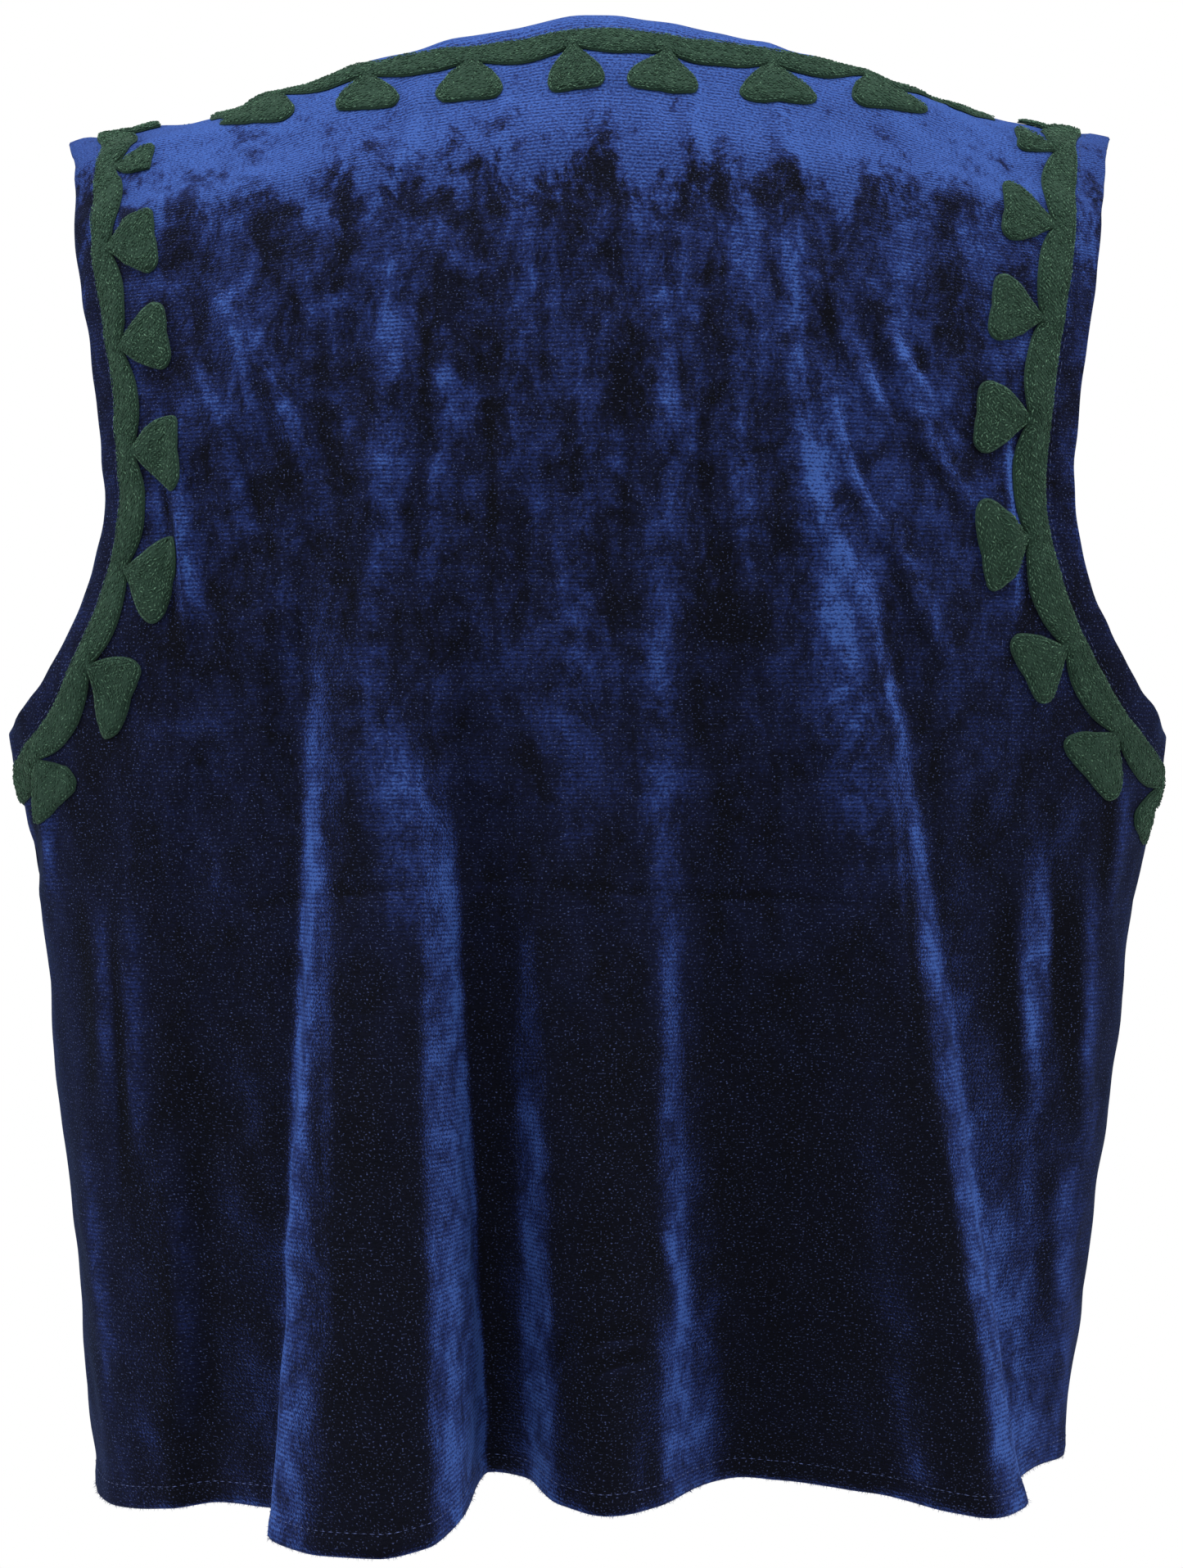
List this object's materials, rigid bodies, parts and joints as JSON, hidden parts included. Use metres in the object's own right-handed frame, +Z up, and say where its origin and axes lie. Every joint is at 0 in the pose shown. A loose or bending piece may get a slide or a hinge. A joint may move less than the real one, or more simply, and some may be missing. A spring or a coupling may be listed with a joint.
{
  "type": "velvet vest",
  "caption": "Sleeveless, collarless open-front velvet vest, hollow as worn, with a raised chain-stitched vine border round neck, front edges and armholes.",
  "frame": {"origin": "midway between the neck ends of the two shoulder seams, at their height, where the wearer's shoulders hold the vest", "axes": "+Z up, +Y out of the back, -Y out of the front, +X to the wearer's left"},
  "size_m": [0.4906, 0.2691, 0.616],
  "materials": {
    "velvet": "dark blue stretch velvet with a bright blue sheen where the pile turns away",
    "embroidery": "matt dark green chain stitch, raised and close set"
  },
  "bodies": {
    "root": {"back_panel": "velvet", "front_left": "velvet", "front_right": "velvet", "neck_border_back": "embroidery", "armhole_border_back_left": "embroidery", "armhole_border_back_right": "embroidery", "edge_border_left": "embroidery", "edge_border_right": "embroidery", "armhole_border_front_left": "embroidery", "armhole_border_front_right": "embroidery"}
  },
  "joints": []
}
